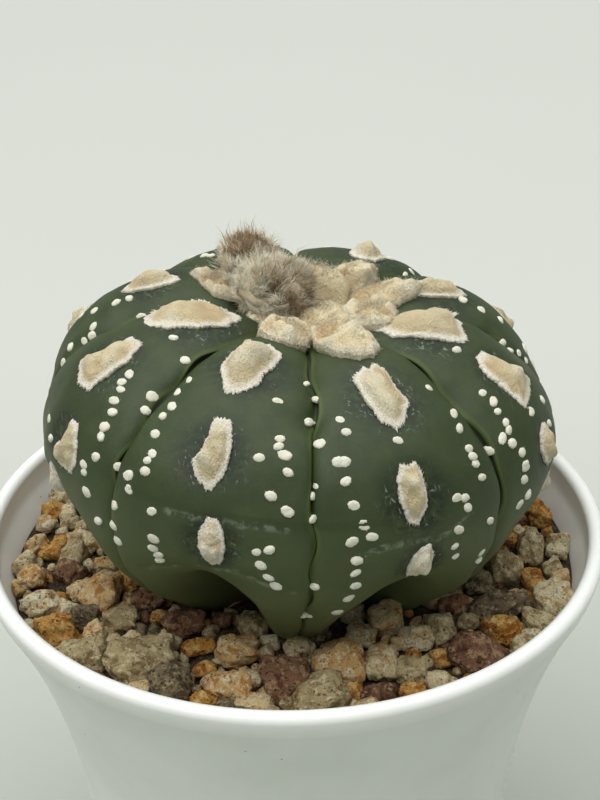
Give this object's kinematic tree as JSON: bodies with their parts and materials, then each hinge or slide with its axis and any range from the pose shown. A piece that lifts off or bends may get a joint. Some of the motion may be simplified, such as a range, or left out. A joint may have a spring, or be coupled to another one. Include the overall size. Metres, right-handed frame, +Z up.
{
  "type": "potted sand dollar cactus",
  "caption": "Low ribbed spineless cactus with felted pads, white flecks and a woolly crown, in a white flared pot dressed with gravel.",
  "frame": {"origin": "middle of the pot's foot, on the level that it stands on", "axes": "+Z up; -Y is the side that faces the viewer in the picture, +X to the right there"},
  "size_m": [0.1, 0.1, 0.1301],
  "materials": {
    "pot_plastic": "satin white moulded plastic",
    "potting_mix": "matt crumbly potting mix",
    "gravel_stone": "matt mixed pumice, lava and ochre gravel",
    "plant_skin": "satin waxy deep green skin",
    "felt_wool": "matt cream felted wool",
    "bud_hair": "matt cream and brown hair"
  },
  "bodies": {
    "root": {"pot": "pot_plastic", "soil": "potting_mix", "gravel": "gravel_stone", "stem": "plant_skin", "crown_wool": "felt_wool", "bud_front": "bud_hair", "bud_back": "bud_hair"}
  },
  "joints": []
}
